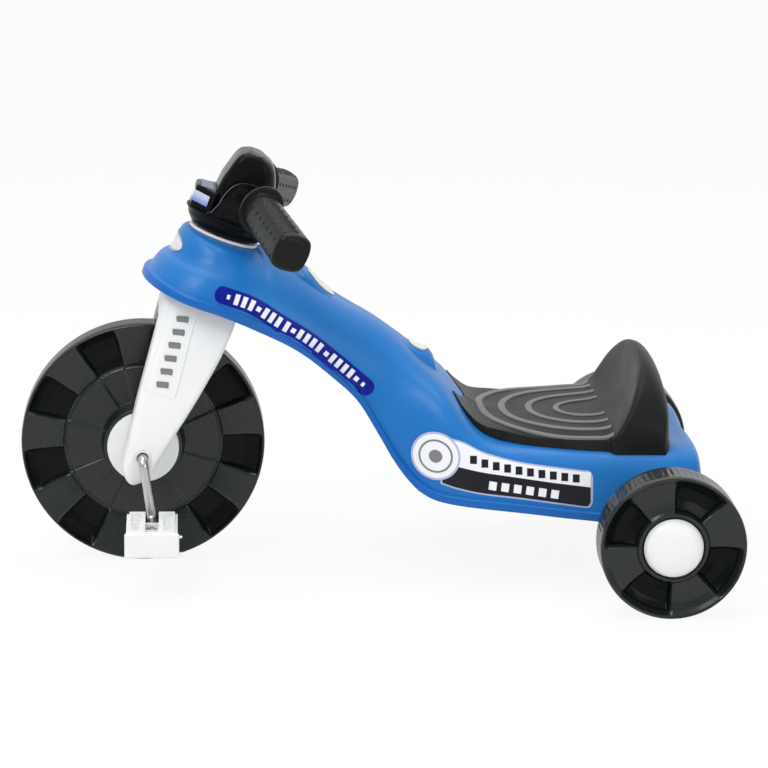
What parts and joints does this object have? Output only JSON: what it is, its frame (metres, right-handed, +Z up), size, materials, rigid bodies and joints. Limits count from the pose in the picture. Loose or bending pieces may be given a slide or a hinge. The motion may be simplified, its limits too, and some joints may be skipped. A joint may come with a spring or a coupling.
{
  "type": "toddler ride-on tricycle",
  "caption": "Low ride-on tricycle: moulded scoop body with a low-backed seat, raked fork with direct pedals on a large front wheel, swept handlebar and panelled rear wheels.",
  "frame": {"origin": "on the floor under the middle of the length, on the centre plane", "axes": "+Z up, -X towards the front wheel, -Y is the rider's left side"},
  "size_m": [0.7183, 0.4794, 0.4281],
  "materials": {
    "blue_shell": "satin moulded polyethylene",
    "black_seat": "satin",
    "black_wheel": "blow-moulded, satin",
    "black_console": "semi-gloss",
    "vinyl_grip": "soft vinyl, satin",
    "white_plastic": "satin",
    "silver_lens": "silvered, glossy",
    "zinc_steel": "zinc plated"
  },
  "bodies": {
    "frame": {"body_shell": "blue_shell", "seat": "black_seat", "seat_screw_1": "zinc_steel", "seat_screw_2": "zinc_steel", "seat_screw_3": "zinc_steel", "seat_screw_4": "zinc_steel", "head_bush": "white_plastic", "head_spacer": "white_plastic", "rear_axle": "zinc_steel", "axle_sleeve": "black_wheel", "axle_washer_left": "zinc_steel", "axle_washer_right": "zinc_steel", "push_nut_left": "zinc_steel", "push_nut_right": "zinc_steel"},
    "steering": {"fork": "white_plastic", "console_base": "black_console", "console_cover": "black_console", "headlight_lens": "silver_lens", "steering_bolt": "zinc_steel", "steering_washer": "zinc_steel", "grip_left": "vinyl_grip", "grip_right": "vinyl_grip", "axle_bush_left": "white_plastic", "axle_bush_right": "white_plastic"},
    "crank_wheel": {"front_wheel": "black_wheel", "hub_disc_left": "white_plastic", "hub_disc_right": "white_plastic", "crank": "zinc_steel"},
    "left_pedal": {"pedal_left": "white_plastic"},
    "right_pedal": {"pedal_right": "white_plastic"},
    "left_rear_wheel": {"rear_wheel_left": "black_wheel", "rear_bush_left": "white_plastic", "hub_cap_left": "white_plastic"},
    "right_rear_wheel": {"rear_wheel_right": "black_wheel", "rear_bush_right": "white_plastic", "hub_cap_right": "white_plastic"}
  },
  "joints": [
    {"name": "steering_turn", "type": "hinge", "parent": "frame", "child": "steering", "pos_m": [-0.15125, 0, 0.343], "axis": [0.3338, 0, 0.9426], "range_deg": [-35, 35]},
    {"name": "front_wheel_spin", "type": "hinge", "parent": "steering", "child": "crank_wheel", "pos_m": [-0.23425, 0, 0.125], "axis": [0, 1, 0], "continuous": true},
    {"name": "left_pedal_spin", "type": "hinge", "parent": "crank_wheel", "child": "left_pedal", "pos_m": [-0.22475, -0.13, 0.06221], "axis": [0, 1, 0], "continuous": true},
    {"name": "right_pedal_spin", "type": "hinge", "parent": "crank_wheel", "child": "right_pedal", "pos_m": [-0.24375, 0.13, 0.18779], "axis": [0, 1, 0], "continuous": true},
    {"name": "left_rear_spin", "type": "hinge", "parent": "frame", "child": "left_rear_wheel", "pos_m": [0.28675, -0.2105, 0.0725], "axis": [0, 1, 0], "continuous": true},
    {"name": "right_rear_spin", "type": "hinge", "parent": "frame", "child": "right_rear_wheel", "pos_m": [0.28675, 0.2105, 0.0725], "axis": [0, 1, 0], "continuous": true}
  ]
}
